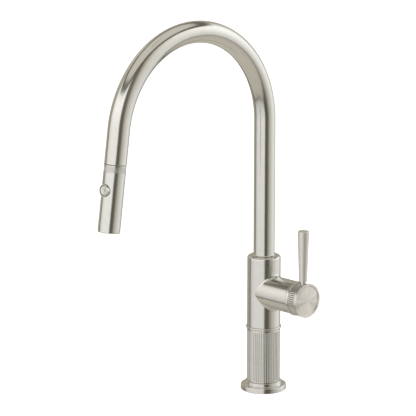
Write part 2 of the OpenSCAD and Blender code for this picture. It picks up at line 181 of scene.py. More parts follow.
BOSS_ORIGIN = np.array([0, 0, BOSS_Z])
FRONT = np.cross(TIP_AXIS, X)
BUTTON_ORIGIN = TIP_START + BUTTON_AT * TIP_AXIS
UPRIGHT = line((0, 0, 0), Z, X)
BOSS = line(BOSS_ORIGIN, X, -Z)
LEVER = line((LEVER_X, 0, 0), Z, X)
TIP = line(TIP_START, TIP_AXIS, X)
BUTTON = line(BUTTON_ORIGIN, FRONT, X)
# The angle that is the back of the upright path and the front of the tip
QUARTER_TURN = math.pi / 2


# ---------------------------------------------------------------- outlines

def rounded(corners, closed=True):
    """The outline through corners (radius, distance) or (radius, distance, fillet), material on the left."""
    rows = []
    for i, corner in enumerate(corners):
        here = np.array(corner[:2], float)
        fillet = corner[2] if len(corner) > 2 else 0
        before = here - np.array(corners[i - 1][:2])
        after = np.array(corners[(i + 1) % len(corners)][:2]) - here
        if not closed and i == 0:
            before = after
        if not closed and i == len(corners) - 1:
            after = before
        before, after = unit(before), unit(after)
        normal = np.array([before[1], -before[0]])
        turn = math.atan2(before[0] * after[1] - before[1] * after[0], before @ after)
        bend = math.copysign(1, turn)
        steps = max(2, round(abs(math.degrees(turn)) / ROUND_STEP)) if fillet else 1
        centre = here - before * fillet * math.tan(abs(turn) / 2) - bend * fillet * normal
        for k in range(steps + 1):
            a = turn * k / steps
            n = np.array([normal[0] * math.cos(a) - normal[1] * math.sin(a),
                          normal[0] * math.sin(a) + normal[1] * math.cos(a)])
            rows.append([*(centre + bend * fillet * n), *n])
            if turn == 0:
                break
    return rows


def arc(middle, radius, start, end, hollow=False):
    """An outline round the axis's point at distance middle, between two angles in degrees from sideways."""
    rows = []
    for a in np.radians(np.linspace(start, end, ARC_STEPS + 1)):
        n = np.array([math.cos(a), math.sin(a)])
        rows.append([*(np.array([0, middle]) + radius * n), *(-n if hollow else n)])
    return rows


def joined(rows):
    """The same closed outline with an edge wherever a straight side meets the next stretch at an angle."""
    shortest, sharp = 1e-6, math.radians(20)
    out = []
    for row, after in zip(rows, rows[1:] + rows[:1]):
        out.append(row)
        d = np.subtract(after[:2], row[:2])
        if np.linalg.norm(d) < shortest:
            continue
        n = np.array([d[1], -d[0]]) / np.linalg.norm(d)
        if n @ row[2:] < math.cos(sharp):
            out.append([*row[:2], *n])
        if n @ after[2:] < math.cos(sharp):
            out.append([*after[:2], *n])
    return out


def with_rings(rows, cuts):
    """The same outline with a ring at each of the distances in cuts, on its long straight sides."""
    out = []
    for row, after in zip(rows, rows[1:] + rows[:1]):
        out.append(row)
        span = after[1] - row[1]
        inside = [c for c in cuts if 0 < (c - row[1]) * math.copysign(1, span) < abs(span)]
        for c in sorted(inside, reverse=bool(span < 0)):
            share = (c - row[1]) / span
            out.append([row[0] + share * (after[0] - row[0]), c, *row[2:]])
    return out


# ---------------------------------------------------------------- surfaces: grids of points, normals and UVs

def full_turn(count=TURNS):
    """The angles of a full turn, both ends included."""
    return np.linspace(0, 2 * math.pi, count + 1)


def swept(rows, path, angles=None, closed=True):
    """The grid that an outline leaves when it turns about a path."""
    rows = np.array(rows + rows[:1] if closed else rows, float)
    angles = full_turn() if angles is None else angles
    centre, along, side, across = path(rows[:, 1])
    out = (np.cos(angles)[None, :, None] * side[:, None] + np.sin(angles)[None, :, None] * across[:, None])
    points = centre[:, None] + rows[:, 0, None, None] * out
    normals = rows[:, 2, None, None] * out + rows[:, 3, None, None] * along[:, None]
    run = np.concatenate([[0], np.cumsum(np.hypot(*np.diff(rows[:, :2], axis=0).T))])
    uv = np.stack(np.broadcast_arrays(angles[None] * rows[:, 0].max(), run[:, None]), -1)
    return points, normals, uv


def surface(place, us, vs, outward):
    """The grid of place(u, v). Its normals follow its slopes and are turned to agree with outward(points)."""
    u, v = np.meshgrid(us, vs)
    points = place(u, v)
    nudge = 1e-4
    du, dv = nudge * (us[-1] - us[0]), nudge * (vs[-1] - vs[0])
    slope_u = place(u + du, v) - place(u - du, v)
    slope_v = place(u, v + dv) - place(u, v - dv)
    normals = np.cross(slope_u, slope_v)
    normals /= np.linalg.norm(normals, axis=-1, keepdims=True)
    side = np.sign((normals * outward(points)).sum(-1, keepdims=True).sum())
    size = np.linalg.norm(slope_u, axis=-1).mean() / (2 * du)
    return points, normals * side, np.stack([u * size, v], -1)


def from_axis(path):
    """A function that points away from a straight path's axis."""
    centre, along, _, _ = path(np.zeros(1))

    def outward(points):
        d = points - centre[0]
        return d - (d @ along[0])[..., None] * along[0]
    return outward


def on_path(path, radius):
    """A surface round a straight path from radius(angle, distance)."""
    def place(angle, s):
        centre, _, side, across = path(s.ravel())
        shape = (*s.shape, 3)
        out = np.cos(angle)[..., None] * side.reshape(shape)
        out = out + np.sin(angle)[..., None] * across.reshape(shape)
        return centre.reshape(shape) + radius(angle, s)[..., None] * out
    return place


def fade(s, start, end, length):
    """Rises from 0 at both ends of a stretch to 1 over the given length."""
    t = np.clip(np.minimum(s - start, end - s) / length, 0, 1)
    return t * t * (3 - 2 * t)


# How far a ring's rounded edges reach along it
BAND_EDGE = 0.15


def band(path, r_in, r_out, start, end, radius, columns, rows):
    """A ring whose outside follows radius(angle, distance) and whose other faces are plain."""
    angles = full_turn(columns)
    first, last = start + BAND_EDGE, end - BAND_EDGE
    outside = surface(on_path(path, radius), angles, np.linspace(first, last, rows + 1), from_axis(path))
    fillet = BAND_EDGE * 0.98
    ends = rounded([(r_out, last), (r_out, end, fillet), (r_in, end), (r_in, start), (r_out, start, fillet),
                    (r_out, first)], closed=False)
    return [outside, swept(ends, path, angles, closed=False)]


def reeded(path, r_in, r_out, start, end, count, depth, margins, width):
    """A ring with grooves between low reeds. The grooves stop short of both ends by the margins.

    The width is a groove's share of the pitch. A reed's crown falls by a small share of the depth.
    """
    first, last = start + margins[0], end - margins[1]
    crown_fall, run_out, steepness = 0.12, 0.7, 1.5

    def radius(angle, s):
        across = np.abs((count * angle / (2 * math.pi)) % 1 - 0.5) * 2
        groove = np.clip((across - 1 + width) / width, 0, 1)
        crown = crown_fall * across ** 2
        return r_out - depth * (crown + (1 - crown) * groove ** steepness) * fade(s, first, last, run_out)
    return band(path, r_in, r_out, start, end, radius, columns=14 * count, rows=30)


def threaded(path, r_in, r_out, start, end, pitch, depth):
    """A tube with a screw thread along its outside."""
    def radius(angle, s):
        x = (s / pitch - angle / (2 * math.pi)) % 1
        return r_out - depth * np.abs(2 * x - 1) * fade(s, start + BAND_EDGE, end - BAND_EDGE, pitch)
    return band(path, r_in, r_out, start, end, radius, columns=72, rows=round(8 * (end - start) / pitch))


def holed_wall(path, radius, middle, start, end, edge, side_columns, rows=20, sign=1):
    """A cylinder wall with one opening: a grid from the opening's edge(turn) out to the wall's two ends.

    A turn of 0 points to the wall's end and 90 degrees to growing angles. The seam is opposite the opening.
    """
    turns, angles, distances = wall_border(middle, start, end, side_columns)
    hole_angle, hole_s = edge(turns)
    share = np.linspace(0, 1, rows + 1)[:, None]
    angle = hole_angle + share * (angles - hole_angle)
    s = hole_s + share * (distances - hole_s)
    points = on_path(path, lambda a, _: np.full(a.shape, float(radius)))(angle, s)
    _, _, side, across = path(np.zeros(1))
    normals = sign * (np.cos(angle)[..., None] * side[0] + np.sin(angle)[..., None] * across[0])
    return points, normals, np.stack([angle * radius, s], -1)


def wall_border(middle, start, end, side_columns):
    """The turn round the opening and the matching place on the wall's border, column by column."""
    eighth, half = math.pi / 4, math.pi
    turns, angles, distances = [], [], []
    sides = [(-eighth, TURNS, (-half, end), (half, end)),
             (eighth, side_columns, (half, end), (half, start)),
             (3 * eighth, TURNS, (half, start), (-half, start)),
             (5 * eighth, side_columns, (-half, start), (-half, end))]
    for first, count, a, b in sides:
        for k in range(count):
            turns.append(first + 2 * eighth * k / count)
            angles.append(middle + a[0] + (b[0] - a[0]) * k / count)
            distances.append(a[1] + (b[1] - a[1]) * k / count)
    turns.append(7 * eighth)
    angles.append(middle - half)
    distances.append(end)
    return np.array(turns), np.array(angles), np.array(distances)


def ruled(a, b, normals):
    """A grid of straight lines from points a to points b."""
    share = np.linspace(0, 1, 3)[:, None, None]
    points = a[None] + share * (b - a)[None]
    run = np.concatenate([[0], np.cumsum(np.linalg.norm(np.diff(a, axis=0), axis=1))])
    texture_len = 5
    uv = np.stack(np.broadcast_arrays(run[None], texture_len * share[:, :, 0]), -1)
    return points, np.broadcast_to(normals, points.shape), uv


def hexagon(path, bore, across_corners, start, end):
    """A six-sided nut with chamfered corners. Its faces are flat, so it is made without normals."""
    angles = full_turn(96)
    flat = across_corners / 2 * math.cos(math.pi / 6)
    side = flat / np.cos((angles + math.pi / 6) % (math.pi / 3) - math.pi / 6)
    chamfer_from = flat + 0.2
    rim = np.minimum(side, chamfer_from)
    drop = (side - rim) * math.tan(math.radians(30))
    level = np.zeros(angles.shape)
    inner = level + bore
    rows = [(inner, start + level), (rim, start + level), (side, start + drop), (side, end - drop),
            (rim, end + level), (inner, end + level), (inner, start + level)]
    radii, distances = (np.array(values) for values in zip(*rows))
    points = on_path(path, lambda *_: radii)(np.broadcast_to(angles, distances.shape), distances)
    uv = np.stack(np.broadcast_arrays(angles[None] * flat, distances), -1)
    return [(points, None, uv)]


# ---------------------------------------------------------------- meshes

# Points closer than this, in metres, become one
WELD = 2e-6


def outward_quads(index, points, normals):
    """The grid's faces, with their corners in the order that makes them face along the normals."""
    quads = np.stack([index[:-1, :-1], index[:-1, 1:], index[1:, 1:], index[1:, :-1]], -1).reshape(-1, 4)
    if normals is None:
        return quads
    a, b, c = (points[quads[:, k]] for k in (0, 1, 3))
    facing = (np.cross(b - a, c - a) * normals[quads[:, 0]]).sum()
    return quads[:, ::-1] if facing < 0 else quads


def weld(mesh, turn_faces):
    """Merges the points where grids meet, and turns the faces outward if asked."""
    bm = bmesh.new()
    bm.from_mesh(mesh)
    bmesh.ops.remove_doubles(bm, verts=bm.verts, dist=WELD)
    if turn_faces:
        bmesh.ops.recalc_face_normals(bm, faces=bm.faces)
    bm.to_mesh(mesh)
    bm.free()


def mesh_from(name, grids):
    """Stitches grids into one closed mesh in metres and keeps each grid's own normals at the corners."""
    verts, faces, corners, uvs = [], [], [], []
    exact = all(normals is not None for _, normals, _ in grids)
    for points, normals, uv in grids:
        index = np.arange(points[..., 0].size).reshape(points.shape[:2])
        points = points.reshape(-1, 3)
        normals = normals.reshape(-1, 3) if exact else None
        quads = outward_quads(index, points, normals)
        if exact:
            corners.append(normals[quads.ravel()])
        faces.extend((quads + len(verts)).tolist())
        verts.extend(points * MM)
        uvs.append(uv.reshape(-1, 2)[quads.ravel()] * MM)
    mesh = bpy.data.meshes.new(name)
    mesh.from_pydata(verts, [], faces)
    mesh.uv_layers.new(name="UVMap").data.foreach_set("uv", np.concatenate(uvs).ravel())
    if exact:
        kept = mesh.attributes.new("kept_normal", "FLOAT_VECTOR", "CORNER")
        kept.data.foreach_set("vector", np.concatenate(corners).astype(np.float32).ravel())
    weld(mesh, turn_faces=not exact)
    mesh.polygons.foreach_set("use_smooth", np.ones(len(mesh.polygons), bool))
    if exact:
        kept = mesh.attributes["kept_normal"]
        normals = np.empty(len(mesh.loops) * 3, np.float32)
        kept.data.foreach_get("vector", normals)
        mesh.attributes.remove(kept)
        mesh.normals_split_custom_set(normals.reshape(-1, 3))
    else:
        mesh.set_sharp_from_angle(angle=math.radians(25))
    return mesh


def piece(name, node, grids, ride=True, finish=None):
    """A finished piece that stands for a CAD node, on its body, in its slot's material or another finish."""
    obj = bpy.data.objects.new(name, mesh_from(name, grids))
    bpy.context.scene.collection.objects.link(obj)
    obj.data.materials.append(MATERIALS[finish or SLOT_OF[node]])
    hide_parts(node)
    if ride:
        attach(obj, BODY_OF[node])
    return obj


# ---------------------------------------------------------------- materials

NICKEL_LIGHT = (0.80, 0.81, 0.80)
NICKEL_DARK = (0.775, 0.785, 0.77)
# The width and length of a brushed streak
STREAK_W = 0.25
STREAK_LEN = 40


def node_maker(tree):
    """A function that adds a node to a tree, with its inputs set or linked and its settings filled in."""
    def add(kind, inputs=(), **settings):
        node = tree.nodes.new(kind)
        for key, value in settings.items():
            setattr(node, key, value)
        for key, value in dict(inputs).items():
            if isinstance(value, bpy.types.NodeSocket):
                tree.links.new(value, node.inputs[key])
            else:
                node.inputs[key].default_value = value
        return node
    return add


def new_material(name):
    """A material, its Principled shader, and what adds nodes and links to it."""
    material = bpy.data.materials.new(name)
    material.use_nodes = True
    tree = material.node_tree
    return material, tree.nodes["Principled BSDF"], node_maker(tree), tree.links


def tones(add, value, colours):
    """A colour ramp over a value, from (place, colour) pairs."""
    node = add("ShaderNodeValToRGB", {"Fac": value})
    ramp = node.color_ramp
    while len(ramp.elements) < len(colours):
        ramp.elements.new(1)
    for element, (place, colour) in zip(ramp.elements, colours):
        element.position = place
        element.color = (*colour, 1)
    return node.outputs["Color"]


def mixed(add, share, first, second, how="MIX"):
    """Two colours mixed by a share, or put together in another way."""
    node = add("ShaderNodeMix", {"Factor": share, 6: first, 7: second}, data_type="RGBA", blend_type=how)
    return node.outputs[2]


def noise(add, place, scale, detail):
    """A noise texture's value at a place."""
    return add("ShaderNodeTexNoise", {"Vector": place, "Scale": scale, "Detail": detail}).outputs["Fac"]


def object_place(add):
    """The place in the object's own space, in metres."""
    return add("ShaderNodeTexCoord").outputs["Object"]


def set_roughness(add, links, shader, value, middle, spread):
    """Roughness that follows a value between 0 and 1, by a spread to either side of its middle."""
    ends = {"To Min": middle - spread, "To Max": middle + spread}
    rough = add("ShaderNodeMapRange", {"Value": value, **ends})
    links.new(rough.outputs["Result"], shader.inputs["Roughness"])


def set_relief(add, links, shader, height, strength, depth):
    """A bump from a height. Its depth is in metres."""
    relief = add("ShaderNodeBump", {"Height": height, "Strength": strength, "Distance": depth})
    links.new(relief.outputs["Normal"], shader.inputs["Normal"])


def direction_from_handle(add, place):
    """The direction of a place from the handle's axis, the same all along the axis."""
    centre = (0, 0, BOSS_Z * MM)
    middle = add("ShaderNodeVectorMath", {0: place, 1: centre}, operation="SUBTRACT").outputs[0]
    flat = add("ShaderNodeVectorMath", {0: middle, 1: (0, 1, 1)}, operation="MULTIPLY").outputs[0]
    return add("ShaderNodeVectorMath", {0: flat}, operation="NORMALIZE").outputs[0]


def brushed_metal(name, light=NICKEL_LIGHT, dark=NICKEL_DARK, roughness=0.17, spread=0.03, bump=0.02,
                  pull=0.3, lengthwise=False, crease_shade=None, painted_highlight_fan=False):
    """Metal brushed round its own axis, or along it: fine streaks, with softer cloudiness under them.

    Pull is how far highlights stretch across the streaks. A crease colour, where given, darkens the creases by
    ambient occlusion: painted shade. The fan option turns the cloudiness into light and dark sectors about the
    handle's axis: a painted fan of highlights.
    """
    material, shader, add, links = new_material(name)
    uv = add("ShaderNodeUVMap", uv_map="UVMap").outputs["UV"]
    fine, long = 1 / (STREAK_W * MM), 1 / (STREAK_LEN * MM)
    scale = (fine, long, 1) if lengthwise else (long, fine, 1)
    stretched = add("ShaderNodeMapping", {"Vector": uv, "Scale": scale}).outputs["Vector"]
    streaks = noise(add, stretched, scale=1.0, detail=3.0)
    place = object_place(add)
    clouds = noise(add, place, scale=140.0, detail=2.0)
    # Painted highlights: the colour follows the direction round the handle's axis, so light and dark sectors fan
    # out across the cap in place of its reflections.
    if painted_highlight_fan:
        clouds = noise(add, direction_from_handle(add, place), scale=1.7, detail=3.0)
    colour = tones(add, clouds, [(0.3, dark), (0.7, light)])
    # Painted shade: ambient occlusion darkens the creases and grooves towards the crease colour.
    if crease_shade:
        open_sky = add("ShaderNodeAmbientOcclusion", {"Distance": 0.001}, samples=8).outputs["AO"]
        creases = tones(add, open_sky, [(0.5, crease_shade), (0.95, (1, 1, 1))])
        colour = mixed(add, 1.0, colour, creases, "MULTIPLY")
    links.new(colour, shader.inputs["Base Color"])
    set_roughness(add, links, shader, streaks, roughness, spread)
    set_relief(add, links, shader, streaks, strength=bump, depth=0.00005)
    tangent = add("ShaderNodeTangent", direction_type="UV_MAP", uv_map="UVMap").outputs["Tangent"]
    links.new(tangent, shader.inputs["Tangent"])
    shader.inputs["Metallic"].default_value = 1.0
    shader.inputs["Anisotropic"].default_value = pull
    shader.inputs["Anisotropic Rotation"].default_value = 0.0 if lengthwise else 0.25
    return material


def plain_metal(name, light, dark, roughness):
    """Machined metal with cloudy tarnish and turning marks, mostly for pieces that keep their CAD mesh."""
    material, shader, add, links = new_material(name)
    place = object_place(add)
    clouds = noise(add, place, scale=220.0, detail=4.0)
    marks = noise(add, place, scale=2200.0, detail=2.0)
    links.new(tones(add, clouds, [(0.3, dark), (0.7, light)]), shader.inputs["Base Color"])
    set_roughness(add, links, shader, marks, roughness, spread=0.08)
    set_relief(add, links, shader, marks, strength=0.1, depth=0.0001)
    shader.inputs["Metallic"].default_value = 1.0
    return material


def moulded(name, light, dark, roughness, bump=0.15):
    """Plastic, rubber or ceramic with a fine moulded grain."""
    material, shader, add, links = new_material(name)
    place = object_place(add)
    clouds = noise(add, place, scale=90.0, detail=3.0)
    pores = noise(add, place, scale=900.0, detail=3.0)
    links.new(tones(add, clouds, [(0.35, dark), (0.65, light)]), shader.inputs["Base Color"])
    set_roughness(add, links, shader, pores, roughness, spread=0.07)
    set_relief(add, links, shader, pores, strength=bump, depth=0.0001)
    return material


def braid(name, light, dark):
    """Braided nylon: two families of strands that cross, set out in space and not along the hose."""
    material, shader, add, links = new_material(name)
    place = object_place(add)
    waves = []
    for lean in (0.8, -0.8):
        turned = add("ShaderNodeMapping", {"Vector": place, "Rotation": (lean, lean, 0)}).outputs["Vector"]
        strands = {"Vector": turned, "Scale": 260.0, "Distortion": 0.3}
        waves.append(add("ShaderNodeTexWave", strands, bands_direction="Z").outputs["Fac"])
    height = add("ShaderNodeMath", {0: waves[0], 1: waves[1]}, operation="MULTIPLY").outputs["Value"]
    links.new(tones(add, height, [(0.1, dark), (0.6, light)]), shader.inputs["Base Color"])
    set_relief(add, links, shader, height, strength=0.6, depth=0.0003)
    shader.inputs["Roughness"].default_value = 0.55
    return material


MATERIALS = {
    "nickel": brushed_metal("nickel"),
    # The spun cap's colour runs from near white to grey in sectors about the handle's axis: a painted fan of
    # highlights.
    "nickel_spun_painted_fan": brushed_metal("nickel_spun_painted_fan", (1.0, 1.0, 0.985), (0.74, 0.735, 0.71), 0.31, 0.05,
                                 bump=0.01, pull=0.94, painted_highlight_fan=True),
    # The next two darken their grooves with painted shade from ambient occlusion, the second far darker.
    "nickel_crease_shaded": brushed_metal("nickel_crease_shaded", crease_shade=(0.52, 0.50, 0.44)),
    "nickel_dark_crease_shaded": brushed_metal("nickel_dark_crease_shaded", crease_shade=(0.10, 0.095, 0.085)),
    "nickel_lengthwise": brushed_metal("nickel_lengthwise", (0.94, 0.94, 0.92), (0.90, 0.90, 0.875), 0.40,
                                       0.05, pull=0.8, lengthwise=True),
    "brass_plain": plain_metal("brass_plain", (0.78, 0.62, 0.34), (0.66, 0.50, 0.26), 0.32),
    "steel_plain": plain_metal("steel_plain", (0.66, 0.66, 0.66), (0.56, 0.56, 0.57), 0.30),
    "copper_tube": plain_metal("copper_tube", (0.80, 0.46, 0.32), (0.62, 0.34, 0.23), 0.34),
    "rubber_black": moulded("rubber_black", (0.045, 0.045, 0.045), (0.025, 0.025, 0.025), 0.62),
    "rubber_grey": moulded("rubber_grey", (0.25, 0.25, 0.25), (0.19, 0.19, 0.19), 0.55),
    "plastic_light": moulded("plastic_light", (0.82, 0.80, 0.75), (0.76, 0.74, 0.69), 0.40),
    "plastic_dark": moulded("plastic_dark", (0.06, 0.06, 0.062), (0.04, 0.04, 0.042), 0.42),
    "plastic_grey": moulded("plastic_grey", (0.30, 0.30, 0.30), (0.24, 0.24, 0.24), 0.42),
    "ceramic_disc": moulded("ceramic_disc", (0.90, 0.90, 0.88), (0.84, 0.84, 0.82), 0.16, bump=0.03),
    "magnet_dark": plain_metal("magnet_dark", (0.16, 0.16, 0.17), (0.11, 0.11, 0.12), 0.48),
    "hose_braid": braid("hose_braid", (0.20, 0.20, 0.21), (0.03, 0.03, 0.032)),
}


# ---------------------------------------------------------------- camera, studio and floor

CAMERA_TURN = math.radians(46.7)
CAMERA_RISE = math.radians(12.3)
CAMERA_AWAY = 2.4454
AIM_SIDE = -0.0639
AIM_HEIGHT = 0.2127
LENS = 186.4
SENSOR = 36


def make_camera():
    """A long lens from the front right and a little above."""
    turn, rise = CAMERA_TURN, CAMERA_RISE
    target = AIM_SIDE * np.array([math.cos(turn), math.sin(turn), 0]) + AIM_HEIGHT * Z
    back = np.array([math.sin(turn) * math.cos(rise), -math.cos(turn) * math.cos(rise), math.sin(rise)])
    data = bpy.data.cameras.new("camera")
    data.lens = LENS
    data.sensor_width = SENSOR
    camera = bpy.data.objects.new("camera", data)
    bpy.context.scene.collection.objects.link(camera)
    camera.location = target + CAMERA_AWAY * back
    camera.rotation_euler = (math.pi / 2 - rise, 0, turn)
    bpy.context.scene.camera = camera


STUDIO_LIGHT = 1.46
# The studio's walls as seen from the faucet: heading in degrees from -Y towards +X, and brightness
WALLS = [(-180, 0.62), (-150, 0.28), (-112, 0.28), (-101, 0.42), (-78, 0.31), (-68, 0.30), (-65, 0.14),
         (-61, 0.14), (-57, 0.56), (-40, 0.72), (-18, 0.78), (44, 0.78), (53, 0.10), (76, 0.10), (86, 0.25),
         (92, 0.33), (104, 0.48), (117, 0.58), (131, 0.70), (147, 0.80), (166, 0.84), (180, 0.80)]
# How much the walls brighten with the sine of the height angle
WALL_RISE = [(-0.45, 0.60), (-0.2, 0.74), (0.09, 0.88), (0.34, 1.0), (0.6, 1.0)]
# A dark stretch of wall behind the object and below its horizon: headings, then sines of the height angle
DARK_BEHIND = [(-157, 0), (-152, 1), (-112, 1), (-107, 0)]
DARK_BELOW = [(0.0, 1), (0.12, 0)]
DARK_LEVEL = 0.06
# Panels overhead and below, on a plane 1 away: middle, half size and brightness from the middle outwards.
# Over its last stretch a panel gives way to the walls.
CEILING = ((-0.08, -0.05), (0.74, 1.02), [(0, 0.44), (0.82, 0.42), (0.92, 0.06), (1.26, 0.06), (1.38, 0.06)])
GROUND = ((0, 0.22), (1.55, 1.47), [(0, 0.38), (1.0, 0.33), (1.04, 0.07), (1.15, 0.07), (1.21, 0.07)])
# The least height that a direction is taken to have, so that a panel's plane is never infinitely far
HORIZON = 0.05


def warm(level):
    """A grey of the given brightness, warmer the darker it is."""
    return (level * (1 + 0.13 * (1 - level)), level, level * (1 - 0.24 * (1 - level)))


def grey(level):
    """A neutral grey of the given brightness."""
    return (level, level, level)


def wall_colours(add, calc, split):
    """The walls' colours by heading and height, with the dark stretch behind the object."""
    heading = calc("DIVIDE", calc("ARCTAN2", split["X"], calc("MULTIPLY", split["Y"], -1.0)), 2 * math.pi)
    turn = calc("ADD", heading, 0.5)
    height = calc("ADD", calc("MULTIPLY", split["Z"], 0.5), 0.5)
    walls = tones(add, turn, [((a + 180) / 360, warm(level)) for a, level in WALLS])
    rise = tones(add, height, [((h + 1) / 2, grey(level)) for h, level in WALL_RISE])
    behind = tones(add, turn, [((a + 180) / 360, grey(share)) for a, share in DARK_BEHIND])
    below = tones(add, height, [((h + 1) / 2, grey(share)) for h, share in DARK_BELOW])
    lit = mixed(add, 1.0, walls, rise, "MULTIPLY")
    return mixed(add, calc("MULTIPLY", behind, below), lit, (*warm(DARK_LEVEL), 1))


def with_panel(add, calc, split, colour, up, panel):
    """The colour with a panel laid over it, overhead where up is 1 and below where it is -1."""
    middle, half, levels = panel
    height = calc("MAXIMUM", calc("MULTIPLY", split["Z"], float(up)), HORIZON)
    fourth_powers = []
    for axis, centre, size in zip("XY", middle, half):
        offset = calc("SUBTRACT", calc("DIVIDE", split[axis], height), centre)
        fourth_powers.append(calc("POWER", calc("ABSOLUTE", calc("DIVIDE", offset, size)), 4.0))
    out = calc("POWER", calc("ADD", *fourth_powers), 0.25)
    fade_from, far = levels[-2][0], levels[-1][0]
    share = calc("DIVIDE", out, far)
    shown = tones(add, share, [(r / far, warm(level)) for r, level in levels])
    mask = tones(add, share, [(fade_from / far, grey(1)), (1, grey(0))])
    return mixed(add, mask, colour, shown)


def make_studio():
    """A soft studio round the object: pale walls with dark gaps and two panels. Behind it, white is seen."""
    world = bpy.data.worlds.new("studio")
    bpy.context.scene.world = world
    world.use_nodes = True
    world.node_tree.nodes.clear()
    add = node_maker(world.node_tree)

    def calc(operation, a, b=0.0):
        return add("ShaderNodeMath", {0: a, 1: b}, operation=operation).outputs[0]
    split = add("ShaderNodeSeparateXYZ", {0: add("ShaderNodeTexCoord").outputs["Generated"]}).outputs
    colour = wall_colours(add, calc, split)
    colour = with_panel(add, calc, split, colour, 1, CEILING)
    colour = with_panel(add, calc, split, colour, -1, GROUND)
    around = add("ShaderNodeBackground", {"Color": colour, "Strength": STUDIO_LIGHT}).outputs[0]
    backdrop = add("ShaderNodeBackground", {"Color": (1, 1, 1, 1)}).outputs[0]
    seen = add("ShaderNodeLightPath").outputs["Is Camera Ray"]
    shown = add("ShaderNodeMixShader", {0: seen, 1: around, 2: backdrop}).outputs[0]
    add("ShaderNodeOutputWorld", {"Surface": shown})


def make_floor():
    """A plain white floor at the deck's level, left out of reflections so that they show the studio."""
    half = 6.0
    mesh = bpy.data.meshes.new("floor")
    corners = [(-half, -half, 0), (half, -half, 0), (half, half, 0), (-half, half, 0)]
    mesh.from_pydata(corners, [], [(0, 1, 2, 3)])
    floor = bpy.data.objects.new("floor", mesh)
    bpy.context.scene.collection.objects.link(floor)
    material, shader, _, _ = new_material("floor_white")
    shader.inputs["Base Color"].default_value = (0.9, 0.9, 0.9, 1)
    shader.inputs["Roughness"].default_value = 0.9
    shader.inputs["Emission Color"].default_value = (1, 1, 1, 1)
    shader.inputs["Emission Strength"].default_value = 0.75
    mesh.materials.append(material)
    floor.visible_glossy = False


bpy.context.scene.view_settings.view_transform = "Standard"
make_camera()
make_studio()
make_floor()


# ---------------------------------------------------------------- base

def base_flange():
    """The flange, with a groove under it for the gasket."""
    bore, step_r, groove_h = SHANK_R + RUN_GAP, BODY_R + 1.6, 1.6
    groove_end = step_r + 3
    flange_h = STEP_TOP - 4
    rows = rounded([(bore, 0), (step_r, 0), (step_r, groove_h), (groove_end, groove_h), (groove_end, 0),
                    (FLANGE_R, 0, 0.6), (FLANGE_R, flange_h, 1.4), (step_r, flange_h, 0.8),
                    (step_r, STEP_TOP, 1.1), (bore, STEP_TOP)])
    piece("flange_turned", "base_flange", [swept(rows, UPRIGHT)])


def reeded_sleeve():
    """The reeded lower column."""
    ring = reeded(UPRIGHT, BODY_R - 1.8, BODY_R, STEP_TOP, low("joint_bead", 2), count=48, depth=0.5,
                  margins=(0.2, 0.4), width=0.5)
    piece("sleeve_reeded", "reeded_sleeve", ring, finish="nickel_crease_shaded")


def joint_bead():
    """The bead between the reeded column and the valve body."""
    bore, proud = SHANK_R + RUN_GAP, high("joint_bead", 0)
    start, end = low("joint_bead", 2), high("joint_bead", 2)
    middle, half = start + 2.75, 1.05
    rows = rounded([(bore, start), (BODY_R, start, 0.1), (BODY_R, middle - half - 0.3, 0.3),
                    (proud, middle - half, 0.9), (proud, middle + half, 0.9),
                    (BODY_R, middle + half + 0.25, 0.1), (BODY_R, end, 0.1), (bore, end)])
    piece("bead_turned", "joint_bead", [swept(rows, UPRIGHT)], finish="nickel_crease_shaded")


def mounting_shank():
    """The shank: threaded below the flange and plain inside the body."""
    thread = threaded(UPRIGHT, SHANK_BORE, SHANK_R, low("mounting_shank", 2), 0, pitch=1.5, depth=0.9)
    plain = rounded([(SHANK_BORE, 0), (SHANK_R, 0), (SHANK_R, SHANK_TOP, 0.4), (SHANK_BORE, SHANK_TOP)])
    piece("shank_threaded", "mounting_shank", [*thread, swept(plain, UPRIGHT)])


def six_sided(name, node, bore, across_corners):
    """A nut or fitting with six flats round the column's axis."""
    piece(name, node, hexagon(UPRIGHT, bore, across_corners, low(node, 2), high(node, 2)))


def washer(name, node, edge):
    """A washer round the shank, its outer edges rounded by edge."""
    bore, outer, start, end = SHANK_R + OPEN_GAP, high(node, 0), low(node, 2), high(node, 2)
    rows = rounded([(bore, start, edge / 2), (outer, start, edge), (outer, end, edge), (bore, end, edge / 2)])
    piece(name, node, [swept(rows, UPRIGHT)])


def water_tube(name, node):
    """A tube with a thread at its lower end."""
    bore, tube_r, thread_r = 2.2, 3, 4
    start, end = low(node, 2), high(node, 2)
    thread_end = start + 10
    middle = [(low(node, axis) + high(node, axis)) / 2 for axis in (0, 1)]
    path = line((*middle, 0), Z, X)
    plain = rounded([(bore, thread_end), (thread_r, thread_end, 0.3), (thread_r, thread_end + 1, 0.3),
                     (tube_r, thread_end + 1.5, 0.3), (tube_r, end, 0.2), (bore, end)])
    thread = threaded(path, bore, thread_r, start, thread_end, pitch=1.0, depth=0.6)
    piece(name, node, [*thread, swept(plain, path)])


# ---------------------------------------------------------------- valve body

# The fillet between column and boss, and the height where the column's wall is divided in two
FILLET = 3.4
SPLIT_Z = 141.0


def boss_ball(turn):
    """The centre of a ball that rolls round the corner between the column and the boss."""
    column, boss = BODY_R + FILLET, BOSS_R + FILLET
    y = boss * np.sin(turn)
    return np.stack([np.sqrt(column ** 2 - y ** 2), y, BOSS_Z + boss * np.cos(turn)], -1)


def boss_edge(turn):
    """Where that ball touches the column: the edge of the column's opening for the boss."""
    ball = boss_ball(turn)
    return np.arctan2(ball[:, 1], ball[:, 0]), ball[:, 2]


